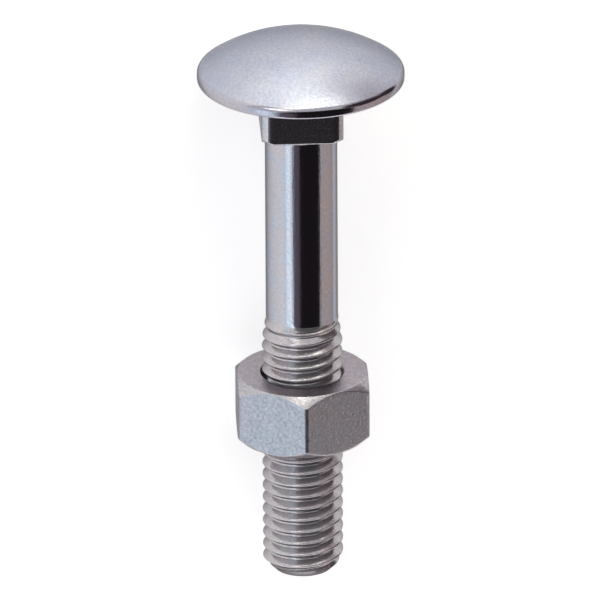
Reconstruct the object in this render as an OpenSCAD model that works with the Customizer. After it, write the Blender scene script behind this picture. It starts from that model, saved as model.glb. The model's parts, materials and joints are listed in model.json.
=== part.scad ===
// Carriage bolt with its hex nut, metric size 8 by 50, in millimetres.
// A low domed head sits on a square neck, then comes a plain shank, rolled a little thinner
// than the thread, and a right-hand thread that grows out of the shank and ends in a chamfer.
// The hex nut stands part of the way along the thread, as in the photograph.
//
// Each piece is drawn along its own axis first: z = 0 is the flat underside of the head and
// z grows towards the threaded end. Then the bolt is laid down as it comes to rest on a table,
// on the rim of its head and on one flat of its nut, so its axis slopes down towards the end.
// The head points to -X, and the origin is under the middle of the whole bolt.

/* [Head] */
// Diameter of the head
head_d = 20.3; // [18:0.1:22]
// Height of the head's straight rim, under the dome
rim_h = 1; // [0.5:0.1:1.5]
// Radius of the dome
dome_r = 17.05; // [14:0.05:24]
// Radius of the rim's lower edge
rim_round = 0.3; // [0.1:0.05:0.4]

/* [Square neck] */
// Width of the neck, from flat to flat
neck_w = 8; // [7.8:0.05:8.6]
// Length of the neck, under the head
neck_len = 5.3; // [4.4:0.1:5.6]
// Radius of the neck's four long edges
neck_round = 0.85; // [0.4:0.05:1.2]
// How far up the neck's corners its lower bevel reaches
neck_bevel = 0.5; // [0.2:0.05:0.8]
// Turn of the neck about the axis, against the flat of the nut that rests on the table
neck_turn = 30; // [-45:1:45]

/* [Shank and thread] */
// Length under the head, to the threaded end
bolt_len = 52; // [46:0.1:60]
// Diameter of the plain shank
shank_d = 7.1; // [7:0.05:7.4]
// Length under the head at which the thread starts to grow out of the shank
shank_end = 25; // [22:0.5:27]
// Diameter over the thread's crests
thread_d = 7.9; // [7.75:0.01:7.97]
// Diameter at the thread's root
root_d = 6.5; // [6.3:0.05:6.6]
// Distance from one crest to the next
pitch = 1.25; // [1:0.05:1.5]
// Turn of the thread about its axis, in degrees
thread_turn = 92; // [-180:1:180]
// Length over which the thread grows to its full depth
runout_len = 2.5; // [1:0.1:3]
// Length of the chamfer on the threaded end
end_chamfer = 1.1; // [0.3:0.05:1.3]

/* [Hex nut] */
// Width of the nut across its flats
nut_af = 12.85; // [12.7:0.05:13.2]
// Height of the nut
nut_h = 6.6; // [6:0.1:6.8]
// Diameter of the flat that the chamfer leaves on each end face
nut_face_d = 12.7; // [11:0.1:12.8]
// Slope of the nut's chamfers against its end faces
nut_chamfer_angle = 43; // [20:1:45]
// Clearance all round between the thread's crests and the nut's bore
nut_clearance = 0.05; // [0.03:0.01:0.2]
// Diameter of the countersink at each end of the bore
countersink_d = 8.3; // [8.2:0.05:8.8]
// Length under the head at which the nut stands
nut_at = 31.1; // [28:0.05:42]

/* [Hidden] */
$fn = 96;

head_r = head_d / 2;
// Middle of the dome's sphere, which meets the rim at its upper edge
dome_z = sqrt(dome_r * dome_r - head_r * head_r) - rim_h;
neck_corner_r = (neck_w / 2 - neck_round) * sqrt(2) + neck_round;
nut_corner_r = nut_af / sqrt(3);
nut_bore_r = thread_d / 2 + nut_clearance;
countersink_h = countersink_d / 2 - nut_bore_r;

// The bolt rests on the head's rim and on the far end of one flat of the nut. Both touch the
// table when (head_r - rim_round - af / 2) cos(tilt) - (flat_end + rim_round) sin(tilt) is
// minus the rim's radius.
flat_end = nut_at + nut_h - (nut_af - nut_face_d) / 2 * tan(nut_chamfer_angle);
rest_rise = head_r - rim_round - nut_af / 2;
rest_run = flat_end + rim_round;
tilt = acos(-rim_round / norm([rest_rise, rest_run])) - atan2(rest_run, rest_rise);
axis_z = (head_r - rim_round) * cos(tilt) - rim_round * sin(tilt) + rim_round;
// Ends of the laid bolt along X, counted from the middle of the head's underside
end_r = thread_d / 2 - end_chamfer;
dome_x = dome_z * cos(tilt) - dome_r;
tip_x = bolt_len * cos(tilt) + end_r * sin(tilt);
axis_x = -(dome_x + tip_x) / 2;

// One turn of the thread, as rows along a helix: the crest's two edges and the root's two edges.
crest_share = 1 / 8;
root_share = 1 / 6;
flank_share = (1 - crest_share - root_share) / 2;
row_places = [0, crest_share, crest_share + flank_share, 1 - flank_share];
row_radii = [thread_d, thread_d, root_d, root_d] / 2;
rows_a_turn = len(row_places);
thread_sides = 40;
// The thread's first ring lies this much inside the shank's edge
seam = 0.01;
row_count = rows_a_turn * (ceil((bolt_len - shank_end) / pitch) + 2);

// Lays a piece down on the table
module lay() {
    translate([axis_x, 0, axis_z]) rotate([0, 90 + tilt, 0]) children();
}

// Outline of the head from its axis out: a dome cut off by the rim, with a rounded lower edge
module head_profile() {
    intersection() {
        union() {
            translate([0, -dome_r]) square([head_r - rim_round, dome_r]);
            translate([0, -dome_r]) square([head_r, dome_r - rim_round]);
            translate([head_r - rim_round, -rim_round]) circle(rim_round);
        }
        translate([0, dome_z]) circle(dome_r, $fn = 360);
    }
}

// Cross-section of the neck: a square with rounded corners
module neck_section() {
    inner = neck_w - 2 * neck_round;
    square([neck_w, inner], center = true);
    square([inner, neck_w], center = true);
    for (x = [-1, 1], y = [-1, 1]) translate([x, y] * inner / 2) circle(neck_round);
}

// The square neck, with the lower ends of its corners bevelled
module neck() {
    intersection() {
        rotate(neck_turn) linear_extrude(neck_len) neck_section();
        rotate_extrude() polygon([
            [0, 0],
            [neck_corner_r + neck_bevel, 0],
            [neck_corner_r + neck_bevel, neck_len - 2 * neck_bevel],
            [neck_corner_r - neck_bevel, neck_len],
            [0, neck_len]
        ]);
    }
}

// How far the thread has grown at a height z: 0 is the plain shank and 1 the full depth
function growth(z) = min(1, max(0, (z - shank_end) / runout_len));
// Radius of a row of the thread at a height z, held inside the end's chamfer
function row_radius(row, z) =
    z <= shank_end ? shank_d / 2 - seam
    : min(
        shank_d / 2 + growth(z) * (row_radii[row % rows_a_turn] - shank_d / 2),
        end_r + bolt_len - z
    );
// Height of a row on one side of the ring of sides, before it is cut off at the thread's ends
function row_height(side, row) =
    shank_end + pitch * (side / thread_sides + row_places[row % rows_a_turn] - 1
        + floor(row / rows_a_turn));
function held(z) = min(bolt_len, max(shank_end, z));
// First and last row that a side keeps: the rows beyond them lie in the end planes
function first_row(side) =
    max([for (row = [0:row_count]) if (row_height(side, row) <= shank_end) row]);
function last_row(side) =
    min([for (row = [0:row_count]) if (row_height(side, row) >= bolt_len) row]);

// The threaded length, as one closed skin of rows that climb the helix
module thread() {
    firsts = [for (side = [0:thread_sides - 1]) first_row(side)];
    lasts = [for (side = [0:thread_sides - 1]) last_row(side)];
    points = [
        for (side = [0:thread_sides - 1], row = [0:row_count])
            let (
                z = held(row_height(side, row)),
                r = row_radius(row, z),
                a = thread_turn + 360 * side / thread_sides
            )
            [r * cos(a), r * sin(a), z]
    ];
    // Number of a point, where a side past the last one is the first side one turn on
    function at(side, row) =
        let (
            s = side % thread_sides,
            turned = row + (side >= thread_sides ? rows_a_turn : 0),
            kept = min(lasts[s], max(firsts[s], turned))
        )
        s * (row_count + 1) + kept;
    skin = [
        for (side = [0:thread_sides - 1], row = [0:row_count - 1])
            let (
                a = at(side, row),
                b = at(side, row + 1),
                c = at(side + 1, row + 1),
                d = at(side + 1, row)
            )
            each [if (a != b && b != c && a != c) [a, b, c], if (a != c && c != d && a != d) [a, c, d]]
    ];
    start_cap = [for (side = [0:thread_sides - 1]) at(side, firsts[side])];
    end_cap = [for (side = [thread_sides - 1:-1:0]) at(side, lasts[side])];
    polyhedron(points, concat(skin, [start_cap, end_cap]));
}

// The bolt is one forged and rolled piece
module bolt() {
    color("lightsteelblue") lay() {
        rotate_extrude() head_profile();
        neck();
        cylinder(h = shank_end, d = shank_d);
        thread();
    }
}

// Outline of the nut's two end chamfers, turned about its axis
module nut_profile() {
    reach = nut_corner_r * 1.1 - nut_face_d / 2;
    drop = reach * tan(nut_chamfer_angle);
    polygon([
        [0, 0],
        [nut_face_d / 2, 0],
        [nut_face_d / 2 + reach, drop],
        [nut_face_d / 2 + reach, nut_h - drop],
        [nut_face_d / 2, nut_h],
        [0, nut_h]
    ]);
}

// The countersunk bore of the nut
module nut_bore() {
    overshoot = 1;
    translate([0, 0, -overshoot]) cylinder(h = nut_h + 2 * overshoot, r = nut_bore_r);
    rotate_extrude() polygon([
        [0, -overshoot],
        [countersink_d / 2 + overshoot, -overshoot],
        [nut_bore_r, countersink_h],
        [0, countersink_h]
    ]);
    translate([0, 0, nut_h]) rotate_extrude() polygon([
        [0, overshoot],
        [countersink_d / 2 + overshoot, overshoot],
        [nut_bore_r, -countersink_h],
        [0, -countersink_h]
    ]);
}

// The hex nut, with a flat turned down to the table
module hex_nut() {
    color("silver") lay() translate([0, 0, nut_at]) difference() {
        intersection() {
            rotate(30) cylinder(h = nut_h, r = nut_corner_r, $fn = 6);
            rotate_extrude() nut_profile();
        }
        nut_bore();
    }
}

bolt();
hex_nut();
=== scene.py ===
"""Looks of a zinc plated carriage bolt with its hex nut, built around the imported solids.

The bolt lies on a pale table, and the camera looks down on it along the photograph's line of sight.
Both pieces are drawn as fine meshes in the bolt's own frame, in millimetres: z runs along the axis
from the flat underside of the head to the threaded end, and x points down to the table. They are
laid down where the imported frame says.
"""
import json
import math

import bmesh
import bpy
import numpy as np
from mathutils import Matrix, Vector


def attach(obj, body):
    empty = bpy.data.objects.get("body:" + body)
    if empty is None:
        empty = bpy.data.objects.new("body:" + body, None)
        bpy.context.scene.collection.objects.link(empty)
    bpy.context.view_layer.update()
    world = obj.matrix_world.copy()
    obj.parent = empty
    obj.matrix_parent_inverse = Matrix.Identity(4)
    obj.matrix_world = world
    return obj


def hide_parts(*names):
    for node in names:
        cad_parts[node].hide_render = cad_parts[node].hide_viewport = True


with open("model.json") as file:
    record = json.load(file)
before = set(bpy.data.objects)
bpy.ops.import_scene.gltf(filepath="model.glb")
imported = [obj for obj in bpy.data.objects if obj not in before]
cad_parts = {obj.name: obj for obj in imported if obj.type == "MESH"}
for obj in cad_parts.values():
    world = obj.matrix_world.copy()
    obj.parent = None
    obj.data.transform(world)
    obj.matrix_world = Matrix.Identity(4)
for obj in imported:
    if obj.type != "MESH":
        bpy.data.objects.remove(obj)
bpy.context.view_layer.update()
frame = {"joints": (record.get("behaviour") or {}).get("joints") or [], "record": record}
MM = 0.001

# Sizes of the solids, in millimetres and degrees, as the part's source has them
HEAD_R = 10.15
RIM_H = 1.0
RIM_ROUND = 0.3
DOME_R = 17.05
NECK_W = 8.0
NECK_LEN = 5.3
NECK_ROUND = 0.85
NECK_TURN = 30
BOLT_LEN = 52
SHANK_R = 3.55
SHANK_END = 25
CREST_R = 3.95
ROOT_R = 3.25
PITCH = 1.25
THREAD_TURN = 92
RUNOUT = 2.5
END_CHAMFER = 1.1
NUT_AF = 12.85
NUT_H = 6.6
NUT_FACE_R = 6.35
NUT_CHAMFER_ANGLE = 43
NUT_AT = 31.1
COUNTERSINK_R = 4.15

# The neck's lower bevel, which the photograph shows shorter than the source's 0.5
NECK_BEVEL = 0.3

# Details that only the visual meshes have
RIM_TOP_ROUND = 0.6
HEAD_FILLET = 0.25
NECK_EDGE_ROUND = 0.18
SHANK_FILLET = 0.2
NUT_CORNER_ROUND = 0.5
NUT_EDGE_ROUND = 0.12
# The nut's own thread: its gap to the bolt's, and its radius at the crests and at the roots
THREAD_GAP = 0.07
NUT_MINOR_R = 3.33
NUT_MAJOR_R = 4.02

# The thread's profile over one turn: edges of the crest and of the root, as shares of the pitch
CREST_SHARE = 1 / 8
ROOT_SHARE = 1 / 6
FLANK_SHARE = (1 - CREST_SHARE - ROOT_SHARE) / 2
PROFILE_EDGES = [0, CREST_SHARE, CREST_SHARE + FLANK_SHARE, 1 - FLANK_SHARE]
EDGE_ROUND = 0.05

# How finely the pieces are drawn: sides round the bolt, rows of the dome, and steps in arcs
BOLT_SIDES = 180
DOME_STEPS = 40
RIM_STEPS = 6
NUT_STEPS = 4
CORNER_STEPS = 5
FILLET_ANGLES = np.linspace(0, math.pi / 2, 5)
BEVEL_ANGLES = np.linspace(0, math.pi / 2, 7)
# Places of the neck's plain rings, as shares of its length
NECK_PLACES = np.linspace(0.3, 0.9, 5)
# Rings of the plain shank, and how far they stay from its two ends
SHANK_RINGS = 20
SHANK_MARGIN = 0.5
# Rings on the end face, as shares of its radius
END_SHARES = (0.97, 0.6, 0.3)
# Rows at each rounded edge of the thread, as shares of its rounding
EDGE_ROWS = (-1, -0.35, 0.35, 1)
# Faces that meet at a larger angle than this, in degrees, meet in a sharp edge
SHARP_ANGLE = 38

# Width of the ring under the head that has the rim's zinc
RIM_UNDERSIDE = 1.5
# Share of the end's chamfer, from the end face on, that has the end face's zinc
END_ZINC_SHARE = 0.8
# Distance of the first ring on the nut's end faces from the countersinks, and of the first ring
# on its flats from the chamfers
SINK_MARGIN = 0.05
FLAT_MARGIN = 0.3
# Places of the points along one flat of the nut, from its middle, as shares of half its width
FLAT_PLACES = [-1, -0.985, -0.9, -0.75, -0.58, -0.4, -0.2, 0, 0.2, 0.4, 0.58, 0.75, 0.9, 0.985, 1]

# The kinds of surface on each piece, each with a zinc of its own
HEAD, RIM, NECK, SHANK, THREAD, END = range(6)
FACE, CHAMFER, FLAT, BORE = range(4)
# The nut's rings after its first, from one countersink over the flats to the other, as the kind
# of the faces that lead to them and their number
NUT_STRETCHES = [(FACE, 4), (CHAMFER, 7), (FLAT, 4), (CHAMFER, 7), (FACE, 4)]


def lay_matrix():
    """The bolt's own frame, in millimetres, laid down in the row frame, in metres."""
    axis = Vector(frame["joints"][0]["axis"]).normalized()
    seat = next(m for m in frame["record"]["mounts"] if m["name"] == "head_seat")["pos_m"]
    down = Vector((axis.z, 0, -axis.x))
    turn = Matrix((down, (0, 1, 0), axis)).transposed().to_4x4()
    return Matrix.Translation((seat[0], 0, seat[2])) @ turn @ Matrix.Scale(MM, 4)


LAY = lay_matrix()


def rounded_path(corners, steps):
    """A path of (radius, height) through corners (radius, height, rounding), with arcs in them."""
    path = []
    for i, (r, z, rounding) in enumerate(corners):
        here = np.array([r, z], float)
        if not rounding or i in (0, len(corners) - 1):
            path.append(here)
            continue
        before = np.array(corners[i - 1][:2], float) - here
        after = np.array(corners[i + 1][:2], float) - here
        before /= np.linalg.norm(before)
        after /= np.linalg.norm(after)
        half = math.acos(np.clip(before @ after, -1, 1)) / 2
        reach = rounding / math.tan(half)
        middle = here + (before + after) / np.linalg.norm(before + after) * rounding / math.sin(half)
        start, end = here + before * reach - middle, here + after * reach - middle
        sweep = math.pi - 2 * half
        for k in range(steps + 1):
            t = k / steps
            a, b = math.sin((1 - t) * sweep), math.sin(t * sweep)
            path.append(middle + (start * a + end * b) / math.sin(sweep))
    return path


def profile_share(place):
    """Height of the thread's rounded profile at a place in the pitch: near 1 on the crest and near
    0 in the root. It is the mean of the sharp profile over a stretch round the place."""
    def sharp(p):
        p %= 1
        if p < CREST_SHARE:
            return 1
        if p < PROFILE_EDGES[2]:
            return 1 - (p - CREST_SHARE) / FLANK_SHARE
        return 0 if p < PROFILE_EDGES[3] else (p - PROFILE_EDGES[3]) / FLANK_SHARE

    reach = 8
    samples = [sharp(place + EDGE_ROUND * k / reach) for k in range(-reach, reach + 1)]
    return sum(samples) / len(samples)


ROW_PLACES = sorted(edge + EDGE_ROUND * share for edge in PROFILE_EDGES for share in EDGE_ROWS)
ROW_SHARES = [profile_share(place) for place in ROW_PLACES]


class Skin:
    """Points and faces of one piece, collected ring by ring round the axis."""

    def __init__(self, angles):
        self.angles = np.asarray(angles, float)
        self.sides = len(self.angles)
        self.points = []
        self.faces = []
        self.kinds = []

    def ring(self, radius, height):
        """Adds one ring. The radius and the height are numbers, or one value for each side."""
        first = len(self.points)
        r = np.broadcast_to(radius, self.sides)
        z = np.broadcast_to(height, self.sides)
        x, y = r * np.cos(self.angles), r * np.sin(self.angles)
        self.points += np.column_stack([x, y, z]).tolist()
        return list(range(first, first + self.sides))

    def face(self, corners, kind):
        """Adds a face, without the corners that fall together."""
        corners = [c for i, c in enumerate(corners) if c != corners[i - 1]]
        if len(corners) > 2:
            self.faces.append(corners)
            self.kinds.append(kind)

    def join(self, a, b, kind):
        """Adds the faces between two rings."""
        for k in range(self.sides):
            n = (k + 1) % self.sides
            self.face([a[k], a[n], b[n], b[k]], kind)

    def rings(self, rows, kind, start=None):
        """Adds rings of (radius, height) one after the other, from a first ring that may exist."""
        for radius, height in rows:
            ring = self.ring(radius, height)
            if start:
                self.join(start, ring, kind)
            start = ring
        return start

    def cap(self, ring, height, kind, head=False):
        """Closes a ring with a fan round a point on the axis."""
        self.points.append([0, 0, height])
        middle = len(self.points) - 1
        for k in range(self.sides):
            n = (k + 1) % self.sides
            self.face([middle, ring[n], ring[k]] if head else [ring[k], ring[n], middle], kind)

    def helix(self, low, high, radius_at, kind, inside=False):
        """Adds a threaded stretch, whose rows climb the helix and are cut off flat at both ends.
        Returns the rings in its two end planes."""
        turns = self.angles / (2 * math.pi) - self.angles[0] / (2 * math.pi)
        a_turn = len(ROW_PLACES)
        # the crests stand where the source puts them, counted from the thread's own start
        offset = SHANK_END + PITCH * (self.angles[0] - math.radians(THREAD_TURN)) / (2 * math.pi)
        skip = math.floor((low - offset) / PITCH) - 1
        count = a_turn * (math.ceil((high - low) / PITCH) + 4)
        heights = np.array([
            offset + PITCH * (ROW_PLACES[row % a_turn] + row // a_turn + skip) for row in range(count)
        ])
        numbers, bounds = [], []
        for side in range(self.sides):
            own = heights + PITCH * turns[side]
            first = int(np.flatnonzero(own <= low)[-1])
            last = int(np.flatnonzero(own >= high)[0])
            bounds.append((first, last))
            column = {}
            for row in range(first, last + 1):
                z = min(high, max(low, own[row]))
                r = radius_at(ROW_SHARES[row % a_turn], z)
                a = self.angles[side]
                column[row] = len(self.points)
                self.points.append([r * math.cos(a), r * math.sin(a), z])
            numbers.append(column)

        def at(side, row):
            """Number of a point, where a side past the last one is the first side one turn on."""
            if side == self.sides:
                side, row = 0, row + a_turn
            return numbers[side][min(bounds[side][1], max(bounds[side][0], row))]

        for side in range(self.sides):
            for row in range(count - 1):
                corners = [at(side, row), at(side + 1, row), at(side + 1, row + 1), at(side, row + 1)]
                self.face(corners[::-1] if inside else corners, kind)
        return [[numbers[s][bounds[s][end]] for s in range(self.sides)] for end in (0, 1)]

    def piece(self, name, materials):
        """Makes the mesh, laid down in the row frame, with sharp edges where it turns a corner."""
        mesh = bpy.data.meshes.new(name)
        mesh.from_pydata(self.points, [], self.faces)
        mesh.transform(LAY)
        for material in materials:
            mesh.materials.append(material)
        mesh.polygons.foreach_set("material_index", self.kinds)
        mesh.polygons.foreach_set("use_smooth", [True] * len(self.faces))
        work = bmesh.new()
        work.from_mesh(mesh)
        for edge in work.edges:
            if len(edge.link_faces) == 2 and edge.calc_face_angle() > math.radians(SHARP_ANGLE):
                edge.smooth = False
        work.to_mesh(mesh)
        work.free()
        thing = bpy.data.objects.new(name, mesh)
        bpy.context.scene.collection.objects.link(thing)
        return thing


def head_path(dome_z):
    """Path of the head from beside the axis, over the dome and the rim, to the underside."""
    edge_angle = math.asin(HEAD_R / DOME_R)
    dome = []
    for k in range(1, DOME_STEPS):
        a = edge_angle * k / DOME_STEPS
        dome.append((DOME_R * math.sin(a), dome_z - DOME_R * math.cos(a), 0))
    rim = [(HEAD_R, -RIM_H, RIM_TOP_ROUND), (HEAD_R, 0, RIM_ROUND), (HEAD_R - RIM_UNDERSIDE, 0, 0)]
    return rounded_path(dome + rim, RIM_STEPS)


def fillet_rows(radius, height, size):
    """Rings of a fillet that leads from a face across the axis, at a height, down to a radius."""
    return [
        (radius + size * (1 - math.sin(a)), height + size * (1 - math.cos(a))) for a in FILLET_ANGLES
    ]


def neck_radius(angles):
    """Distance from the axis to the rounded square of the neck, in each direction."""
    turned = (angles - math.radians(NECK_TURN) + math.pi / 4) % (math.pi / 2) - math.pi / 4
    turned = np.abs(turned)
    flat = NECK_W / 2 / np.cos(turned)
    middle = NECK_W / 2 - NECK_ROUND
    off = math.sqrt(2) * middle
    along = off * np.cos(math.pi / 4 - turned)
    across = off * np.sin(math.pi / 4 - turned)
    corner = along + np.sqrt(np.maximum(NECK_ROUND**2 - across**2, 0))
    return np.where(turned > math.atan2(middle, NECK_W / 2), corner, flat)


def neck_rows(angles):
    """Rings of the neck: its long sides, and the bevel and the rounded edge at its lower end."""
    neck = neck_radius(angles)
    corner_r = (NECK_W / 2 - NECK_ROUND) * math.sqrt(2) + NECK_ROUND
    bevel = neck - np.minimum(neck, corner_r - NECK_BEVEL)
    rows = [(neck, z) for z in NECK_PLACES * NECK_LEN]
    rows.append((neck, NECK_LEN - bevel - NECK_EDGE_ROUND))
    for a in BEVEL_ANGLES:
        inward = bevel * a / (math.pi / 2)
        rows.append((
            neck - inward - NECK_EDGE_ROUND * (1 - math.cos(a)),
            NECK_LEN - bevel + inward - NECK_EDGE_ROUND * (1 - math.sin(a))
        ))
    return rows


def thread_radius(share, z):
    """Radius of the bolt's thread, which grows out of the shank and is cut by the end's chamfer."""
    grown = min(1, max(0, (z - SHANK_END) / RUNOUT))
    full = ROOT_R + (CREST_R - ROOT_R) * share
    return min(SHANK_R + grown * (full - SHANK_R), CREST_R - END_CHAMFER + BOLT_LEN - z)


def make_bolt(materials):
    """The bolt in one skin, from the top of its dome to the end face."""
    skin = Skin(math.radians(THREAD_TURN) + np.arange(BOLT_SIDES) * 2 * math.pi / BOLT_SIDES)
    # middle of the dome's sphere, which meets the rim at its upper edge
    dome_z = math.sqrt(DOME_R**2 - HEAD_R**2) - RIM_H
    path = head_path(dome_z)
    ring = skin.rings(path[:1], HEAD)
    skin.cap(ring, dome_z - DOME_R, HEAD, head=True)
    ring = skin.rings(path[1:DOME_STEPS], HEAD, ring)
    ring = skin.rings(path[DOME_STEPS:], RIM, ring)

    ring = skin.rings(fillet_rows(neck_radius(skin.angles), 0, HEAD_FILLET), NECK, ring)
    ring = skin.rings(neck_rows(skin.angles), NECK, ring)
    ring = skin.rings(fillet_rows(SHANK_R, NECK_LEN, SHANK_FILLET), NECK, ring)
    heights = np.linspace(NECK_LEN + SHANK_MARGIN, SHANK_END - SHANK_MARGIN, SHANK_RINGS)
    ring = skin.rings([(SHANK_R, z) for z in heights], SHANK, ring)

    first, last = skin.helix(SHANK_END, BOLT_LEN, thread_radius, THREAD)
    for k, corners in enumerate(skin.faces):
        if min(skin.points[c][2] for c in corners) > BOLT_LEN - END_ZINC_SHARE * END_CHAMFER:
            skin.kinds[k] = END
    skin.join(ring, first, SHANK)
    end_r = CREST_R - END_CHAMFER
    ring = skin.rings([(end_r * share, BOLT_LEN) for share in END_SHARES], END, last)
    skin.cap(ring, BOLT_LEN, END)
    return skin.piece("bolt_body", materials)


def hex_outline():
    """Angle and distance from the axis of the points round the nut's rounded hexagon."""
    reach = NUT_CORNER_ROUND * math.tan(math.radians(30))
    half_side = NUT_AF / 2 * math.tan(math.radians(30)) - reach
    middle = (NUT_AF / 2 - NUT_CORNER_ROUND, half_side)
    points = [(NUT_AF / 2, half_side * share) for share in FLAT_PLACES]
    for k in range(1, CORNER_STEPS):
        a = math.radians(60 * k / CORNER_STEPS)
        points.append((
            middle[0] + NUT_CORNER_ROUND * math.cos(a), middle[1] + NUT_CORNER_ROUND * math.sin(a)
        ))
    angles, distances = [], []
    for side in range(6):
        turn = math.radians(60 * side)
        angles += [turn + math.atan2(y, x) for x, y in points]
        distances += [math.hypot(x, y) for x, y in points]
    return np.array(angles), np.array(distances)


def nut_column(distance):
    """Path up one side of the nut at a distance from the axis, from countersink to countersink."""
    drop = (distance - NUT_FACE_R) * math.tan(math.radians(NUT_CHAMFER_ANGLE))
    return rounded_path([
        (COUNTERSINK_R, 0, 0),
        (COUNTERSINK_R + SINK_MARGIN, 0, 0),
        (NUT_FACE_R, 0, NUT_EDGE_ROUND),
        (distance, drop, NUT_EDGE_ROUND),
        (distance, drop + FLAT_MARGIN, 0),
        (distance, NUT_H / 2, 0),
        (distance, NUT_H - drop - FLAT_MARGIN, 0),
        (distance, NUT_H - drop, NUT_EDGE_ROUND),
        (NUT_FACE_R, NUT_H, NUT_EDGE_ROUND),
        (COUNTERSINK_R + SINK_MARGIN, NUT_H, 0),
        (COUNTERSINK_R, NUT_H, 0),
    ], NUT_STEPS)


def bore_radius(share, z):
    """Radius of the nut's thread, which lies round the bolt's and ends in the countersinks."""
    thread = ROOT_R + (CREST_R - ROOT_R) * share + THREAD_GAP
    sink = max(COUNTERSINK_R - (z - NUT_AT), COUNTERSINK_R - (NUT_AT + NUT_H - z))
    return max(min(NUT_MAJOR_R, max(NUT_MINOR_R, thread)), sink)


def make_nut(materials):
    """The nut in one skin, whose chamfers are deepest at its six corners."""
    angles, distances = hex_outline()
    skin = Skin(angles)
    table = np.array([nut_column(distance) for distance in distances])
    rows = [(table[:, k, 0], table[:, k, 1] + NUT_AT) for k in range(table.shape[1])]
    start = skin.rings(rows[:1], FACE)
    ring, done = start, 1
    for kind, count in NUT_STRETCHES:
        ring = skin.rings(rows[done:done + count], kind, ring)
        done += count
    first, last = skin.helix(NUT_AT, NUT_AT + NUT_H, bore_radius, BORE, inside=True)
    skin.join(ring, last, BORE)
    skin.join(first, start, BORE)
    return skin.piece("nut_body", materials)


# The two tints: how many patches of them a millimetre has, how finely they break up, and where in
# the noise the one goes over into the other
TINT_SCALE = 0.35
TINT_DETAIL = 3
TINT_FROM, TINT_TO = 0.35, 0.65
# How finely the grain breaks up
GRAIN_DETAIL = 4
# The part of a noise's range that carries nearly all its values
NOISE_FROM, NOISE_TO = 0.3, 0.7
# The drawn lines: their noise is fine across the axis and long along it
LINE_STRETCH = (6, 6, 0.12)
LINE_SCALE = 1.5
LINE_DETAIL = 3


def node(tree, kind, **settings):
    made = tree.nodes.new(kind)
    for key, value in settings.items():
        setattr(made, key, value)
    return made


def noise(tree, vector, scale, detail):
    made = node(tree, "ShaderNodeTexNoise")
    made.inputs["Scale"].default_value = scale
    made.inputs["Detail"].default_value = detail
    tree.links.new(vector, made.inputs["Vector"])
    return made.outputs["Fac"]


def spread(tree, value, low, high):
    """Spreads a noise's range over the values from low to high."""
    made = node(tree, "ShaderNodeMapRange")
    made.inputs["From Min"].default_value = NOISE_FROM
    made.inputs["From Max"].default_value = NOISE_TO
    made.inputs["To Min"].default_value = low
    made.inputs["To Max"].default_value = high
    tree.links.new(value, made.inputs["Value"])
    return made.outputs["Result"]


def zinc(
    name, cool, warm, roughness, grain_scale, bump, mottle, grain=0.06, edge=0.3, metal=1.0, streak=0.0
):
    """Bright zinc plate: two faint tints in drifting patches, and a fine grain that varies the
    roughness by grain, the colour by the share mottle and the height by bump millimetres. A streak
    adds lines along the axis, where the steel was drawn, to the height. The edge is how much is
    mirrored at grazing angles, and a metal under 1 scatters some of the light."""
    material = bpy.data.materials.new(name)
    material.use_nodes = True
    tree = material.node_tree
    tree.nodes.clear()
    link = tree.links.new
    out = node(tree, "ShaderNodeOutputMaterial")
    shader = node(tree, "ShaderNodeBsdfPrincipled")
    link(shader.outputs["BSDF"], out.inputs["Surface"])
    shader.inputs["Metallic"].default_value = metal
    shader.inputs["Specular Tint"].default_value = (edge, edge, edge, 1)

    place = node(tree, "ShaderNodeTexCoord")
    lay = node(tree, "ShaderNodeMapping", vector_type="TEXTURE")
    lay.inputs["Location"].default_value = LAY.to_translation()
    lay.inputs["Rotation"].default_value = LAY.to_euler()
    lay.inputs["Scale"].default_value = (MM, MM, MM)
    link(place.outputs["Object"], lay.inputs["Vector"])
    laid = lay.outputs["Vector"]
    tint = noise(tree, laid, TINT_SCALE, TINT_DETAIL)
    speck = noise(tree, laid, grain_scale, GRAIN_DETAIL)

    ramp = node(tree, "ShaderNodeValToRGB")
    ramp.color_ramp.elements[0].position = TINT_FROM
    ramp.color_ramp.elements[0].color = (*cool, 1)
    ramp.color_ramp.elements[1].position = TINT_TO
    ramp.color_ramp.elements[1].color = (*warm, 1)
    link(tint, ramp.inputs["Fac"])
    mottled = node(tree, "ShaderNodeVectorMath", operation="SCALE")
    link(ramp.outputs["Color"], mottled.inputs[0])
    link(spread(tree, speck, 1 + mottle, 1 - mottle), mottled.inputs["Scale"])
    link(mottled.outputs["Vector"], shader.inputs["Base Color"])
    link(spread(tree, speck, roughness - grain, roughness + grain), shader.inputs["Roughness"])

    height = speck
    if streak:
        lines = node(tree, "ShaderNodeMapping")
        lines.inputs["Scale"].default_value = LINE_STRETCH
        link(laid, lines.inputs["Vector"])
        drawn = noise(tree, lines.outputs["Vector"], LINE_SCALE, LINE_DETAIL)
        both = node(tree, "ShaderNodeMath", operation="MULTIPLY_ADD")
        link(drawn, both.inputs[0])
        both.inputs[1].default_value = streak
        link(speck, both.inputs[2])
        height = both.outputs["Value"]
    relief = node(tree, "ShaderNodeBump")
    relief.inputs["Strength"].default_value = 1.0
    relief.inputs["Distance"].default_value = bump * MM
    link(height, relief.inputs["Height"])
    link(relief.outputs["Normal"], shader.inputs["Normal"])
    return material


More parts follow.
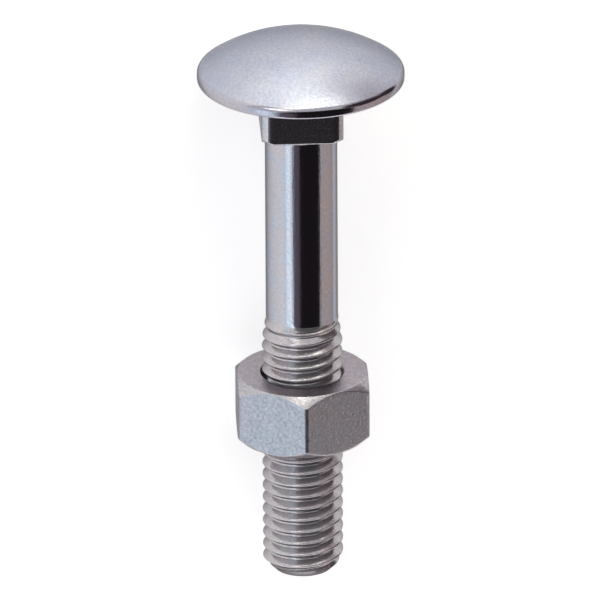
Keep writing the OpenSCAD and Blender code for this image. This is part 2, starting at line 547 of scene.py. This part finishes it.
def make_materials():
    """The zinc of the bolt's and of the nut's surfaces, each in the order of its kinds. The
    numbers are the roughness, the grain's scale, its height in millimetres and its mottle."""
    bolt_zinc = [
        zinc("zinc_head", (0.42, 0.44, 0.54), (0.46, 0.47, 0.54), 0.34, 4, 0.020, 0.12, edge=0.4),
        zinc("zinc_rim", (0.42, 0.42, 0.48), (0.45, 0.43, 0.47), 0.15, 5, 0.006, 0.10, grain=0.05),
        zinc("zinc_neck", (0.50, 0.51, 0.55), (0.52, 0.50, 0.52), 0.23, 6, 0.008, 0.20, grain=0.05),
        zinc(
            "zinc_shank", (0.44, 0.47, 0.53), (0.48, 0.46, 0.49), 0.12, 5, 0.006, 0.08,
            grain=0.03, streak=1.0
        ),
        zinc("zinc_thread", (0.52, 0.51, 0.52), (0.54, 0.50, 0.52), 0.18, 6, 0.012, 0.16, metal=0.8),
        # the end face and most of the end's chamfer, about half as bright as the thread
        zinc("zinc_end", (0.24, 0.23, 0.24), (0.27, 0.25, 0.26), 0.36, 4, 0.020, 0.10),
    ]
    nut_zinc = [
        zinc("zinc_nut_face", (0.51, 0.47, 0.515), (0.54, 0.49, 0.515), 0.32, 4, 0.022, 0.18),
        zinc("zinc_nut_chamfer", (0.47, 0.46, 0.48), (0.49, 0.47, 0.49), 0.28, 4, 0.014, 0.14),
        zinc("zinc_nut_flat", (0.375, 0.395, 0.44), (0.405, 0.40, 0.44), 0.32, 3.6, 0.028, 0.20),
        zinc("zinc_nut_bore", (0.42, 0.41, 0.43), (0.45, 0.43, 0.44), 0.32, 6, 0.012, 0.10),
    ]
    return bolt_zinc, nut_zinc


# The photograph's line of sight, in the bolt's own frame: its turn about the axis from the table's
# side, and its rise towards the head, in degrees
VIEW_TURN = 212.8
VIEW_RISE = 23.8
# The photograph's framing: its width in pixels, its scale at the bolt, the column that the axis
# meets and the row that the head's seat meets, and the bolt's lean in the picture, in degrees
PICTURE = 600
PIXELS_A_MM = 10.25
AXIS_AT_X = 300.7
SEAT_AT_Y = 79.2
ROLL = 0.3
# Distance of the camera, in metres
CAMERA_FAR = 2.2


def view_axes():
    """The camera's right, up and back, and the ways across the axis to the camera's side and along
    it to the head, as directions in the row frame."""
    turn = LAY.to_3x3().normalized()
    a, e = math.radians(VIEW_TURN), math.radians(VIEW_RISE)
    front = turn @ Vector((math.cos(a), math.sin(a), 0))
    head_way = turn @ Vector((0, 0, -1))
    back = math.cos(e) * front + math.sin(e) * head_way
    right = head_way.cross(back).normalized()
    up = back.cross(right).normalized()
    return right, up, back, front, head_way


RIGHT, UP, BACK, FRONT, HEAD_WAY = view_axes()


def make_camera():
    data = bpy.data.cameras.new("camera")
    data.sensor_width = 36
    data.lens = data.sensor_width * CAMERA_FAR / (PICTURE / PIXELS_A_MM * MM)
    data.clip_start = 0.1
    data.clip_end = 20
    thing = bpy.data.objects.new("camera", data)
    bpy.context.scene.collection.objects.link(thing)
    seat = LAY.to_translation()
    roll = Matrix.Rotation(math.radians(-ROLL), 3, BACK)
    right, up = roll @ RIGHT, roll @ UP
    mm_right = (PICTURE / 2 - AXIS_AT_X) / PIXELS_A_MM
    mm_up = (SEAT_AT_Y - PICTURE / 2) / PIXELS_A_MM
    aim = seat + (right * mm_right + up * mm_up) * MM
    turn = Matrix((right, up, BACK)).transposed()
    thing.matrix_world = Matrix.Translation(aim + BACK * CAMERA_FAR) @ turn.to_4x4()
    bpy.context.scene.camera = thing


# Half the table's width, in metres, the colour of its paint, and the strength of its glow, which
# only the camera and the mirror images see, and which lifts the paint to white
TABLE_HALF = 1.5
TABLE_PAINT = (0.9, 0.9, 0.9)
TABLE_GLOW = 0.58


def make_floor():
    """A pale table. It shows white to the camera and in the metal, and keeps the bolt's shadow."""
    mesh = bpy.data.meshes.new("table")
    corners = [(x * TABLE_HALF, y * TABLE_HALF, 0) for x, y in ((-1, -1), (1, -1), (1, 1), (-1, 1))]
    mesh.from_pydata(corners, [], [(0, 1, 2, 3)])
    table = bpy.data.objects.new("table", mesh)
    bpy.context.scene.collection.objects.link(table)
    material = bpy.data.materials.new("table_white")
    material.use_nodes = True
    tree = material.node_tree
    tree.nodes.clear()
    link = tree.links.new
    out = node(tree, "ShaderNodeOutputMaterial")
    paint = node(tree, "ShaderNodeBsdfDiffuse")
    paint.inputs["Color"].default_value = (*TABLE_PAINT, 1)
    glow = node(tree, "ShaderNodeEmission")
    glow.inputs["Color"].default_value = (1, 1, 1, 1)
    path = node(tree, "ShaderNodeLightPath")
    seen = path.outputs["Is Camera Ray"]
    for ray in ("Is Glossy Ray", "Is Transmission Ray"):
        either = node(tree, "ShaderNodeMath", operation="MAXIMUM")
        link(seen, either.inputs[0])
        link(path.outputs[ray], either.inputs[1])
        seen = either.outputs["Value"]
    strength = node(tree, "ShaderNodeMath", operation="MULTIPLY")
    link(seen, strength.inputs[0])
    strength.inputs[1].default_value = TABLE_GLOW
    link(strength.outputs["Value"], glow.inputs["Strength"])
    both = node(tree, "ShaderNodeAddShader")
    link(paint.outputs["BSDF"], both.inputs[0])
    link(glow.outputs["Emission"], both.inputs[1])
    link(both.outputs["Shader"], out.inputs["Surface"])
    mesh.materials.append(material)


# The room's own colour, and the patches in it, each painted over those before it, as a colour, its
# middle (angle round the bolt from the camera's side, rise towards the head), and the angles from
# there at which it is full and at which it has faded out, in degrees
ROOM = (0.80, 0.80, 0.82)
ROOM_PATCHES = [
    # a pale blue window on the left, with a brighter pane
    ((0.88, 1.09, 1.28), (-54, -22), 14, 32),
    ((1.45, 1.55, 1.6), (-42, -24), 2, 10),
    # a warm wall on the right, darker towards the head, with two dark openings
    ((0.64, 0.54, 0.51), (112, -25), 38, 60),
    ((0.45, 0.37, 0.40), (120, 52), 14, 30),
    ((0.06, 0.04, 0.05), (76, 15), 25, 32),
    ((0.06, 0.04, 0.05), (118, 9), 20, 28),
    # the dark part that the shank and the neck mirror as their black bands, with a dim left edge
    ((0.016, 0.012, 0.014), (17.8, -23.8), 38.6, 42),
    ((0.15, 0.12, 0.15), (-16, -24), 6, 12),
]


def room_way(azimuth, rise):
    """A direction in the room, by its angle round the bolt from the camera's side (right is more)
    and its rise towards the head."""
    a, e = math.radians(azimuth), math.radians(rise)
    across = HEAD_WAY.cross(FRONT)
    level = math.cos(a) * FRONT + math.sin(a) * across
    return (math.cos(e) * level + math.sin(e) * HEAD_WAY).normalized()


def make_world():
    """A pale room with its window, wall and dark parts, which fade into each other."""
    world = bpy.data.worlds.new("room")
    bpy.context.scene.world = world
    world.use_nodes = True
    tree = world.node_tree
    tree.nodes.clear()
    link = tree.links.new
    out = node(tree, "ShaderNodeOutputWorld")
    light = node(tree, "ShaderNodeBackground")
    link(light.outputs["Background"], out.inputs["Surface"])
    way = node(tree, "ShaderNodeTexCoord")
    below = None
    for colour, middle, inner, outer in ROOM_PATCHES:
        dot = node(tree, "ShaderNodeVectorMath", operation="DOT_PRODUCT")
        dot.inputs[1].default_value = room_way(*middle)
        link(way.outputs["Generated"], dot.inputs[0])
        share = node(tree, "ShaderNodeMapRange", interpolation_type="SMOOTHSTEP")
        share.inputs["From Min"].default_value = math.cos(math.radians(outer))
        share.inputs["From Max"].default_value = math.cos(math.radians(inner))
        link(dot.outputs["Value"], share.inputs["Value"])
        # sockets 6 and 7 of a mix node are its two colours, and output 2 is their mix
        mix = node(tree, "ShaderNodeMix", data_type="RGBA")
        link(share.outputs["Result"], mix.inputs[0])
        mix.inputs[6].default_value = (*ROOM, 1)
        if below:
            link(below, mix.inputs[6])
        mix.inputs[7].default_value = (*colour, 1)
        below = mix.outputs[2]
    link(below, light.inputs["Color"])


# Watts that a square metre of lamp takes to glow with a strength of 1
LAMP_WATTS = 4
# Soft lamps as (name, place, aim, size, colour), in metres. The first two hang low over the table
# beyond the head, and the third beyond the threaded end. The last lights the bolt from the camera's
# side, a little to its left. The colour is what a lamp adds to the room behind it.
LAMPS = [
    ("near_lamp", (-0.135, 0, 0.04), (-0.135, 0, 0), (0.13, 0.06), (1.35, 1.33, 1.15)),
    ("far_lamp", (-0.43, 0, 0.08), (-0.43, 0, 0), (0.54, 0.24), (1.25, 1.23, 1.02)),
    ("end_lamp", (0.30, -0.02, 0.07), (0.30, -0.02, 0), (0.44, 0.30), (0.9, 0.9, 0.9)),
    ("corner_lamp", (-0.222, -0.277, 0.183), (0, 0, 0), (0.16, 0.16), (1.5, 1.5, 1.5)),
]


def make_lamp(name, place, aim, size, colour):
    """A rectangular lamp at a place, turned to its aim, which the camera itself doesn't see."""
    data = bpy.data.lights.new(name, "AREA")
    data.shape = "RECTANGLE"
    data.size, data.size_y = size
    level = max(colour)
    data.color = [c / level for c in colour]
    data.energy = LAMP_WATTS * level * size[0] * size[1]
    lamp = bpy.data.objects.new(name, data)
    bpy.context.scene.collection.objects.link(lamp)
    turn = (Vector(aim) - Vector(place)).to_track_quat("-Z", "Y").to_matrix().to_4x4()
    lamp.matrix_world = Matrix.Translation(place) @ turn
    lamp.visible_camera = False


make_camera()
make_floor()
make_world()
for lamp_facts in LAMPS:
    make_lamp(*lamp_facts)

bolt_materials, nut_materials = make_materials()
bolt = make_bolt(bolt_materials)
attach(bolt, "bolt")
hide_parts("bolt")
nut = make_nut(nut_materials)
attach(nut, "nut")
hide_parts("hex_nut")

bpy.context.scene.view_settings.view_transform = "Standard"
